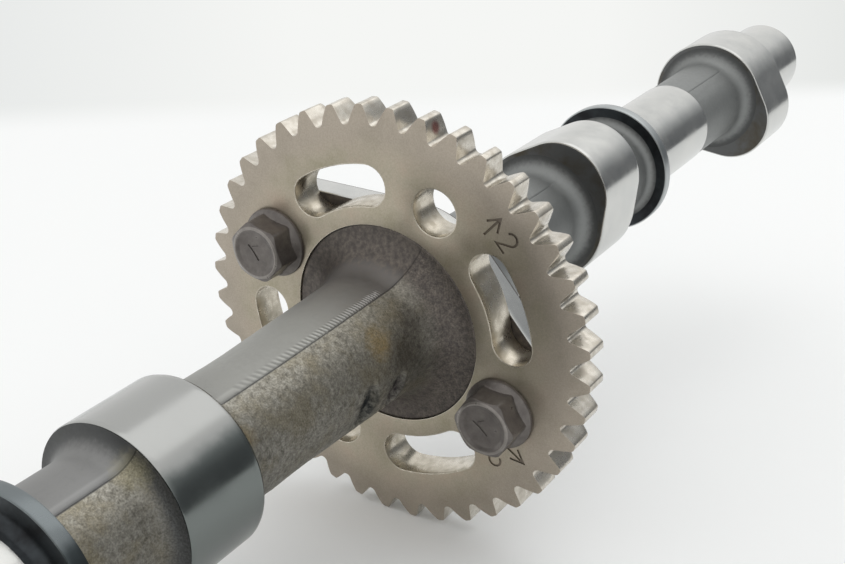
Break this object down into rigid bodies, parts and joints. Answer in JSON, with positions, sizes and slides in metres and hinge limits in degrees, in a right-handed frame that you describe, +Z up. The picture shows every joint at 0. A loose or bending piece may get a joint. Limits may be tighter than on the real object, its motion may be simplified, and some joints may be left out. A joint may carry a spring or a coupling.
{
  "type": "camshaft",
  "caption": "Cast camshaft with wide lobes, thrust collars, ground journals and a toothed chain sprocket, held on its centre flange by hexagon flange bolts",
  "frame": {"origin": "on the surface that the camshaft rests on, straight below the middle of its length, at the bottom centre of its bounding box", "axes": "+X from the near end, which rests lower, to the far end, which is raised by 9.18 degrees; +Z up; the shaft's axis lies in the XZ plane"},
  "size_m": [0.3888, 0.0838, 0.0836],
  "materials": {
    "cast_shaft": "as-cast, ground on lobes and journals",
    "sintered_sprocket": "sintered and tempered, straw tint",
    "blackened_bolts": "blackened, satin"
  },
  "bodies": {
    "root": {"camshaft": "cast_shaft", "cam_sprocket": "sintered_sprocket", "sprocket_bolt_1": "blackened_bolts", "sprocket_bolt_2": "blackened_bolts"}
  },
  "joints": []
}
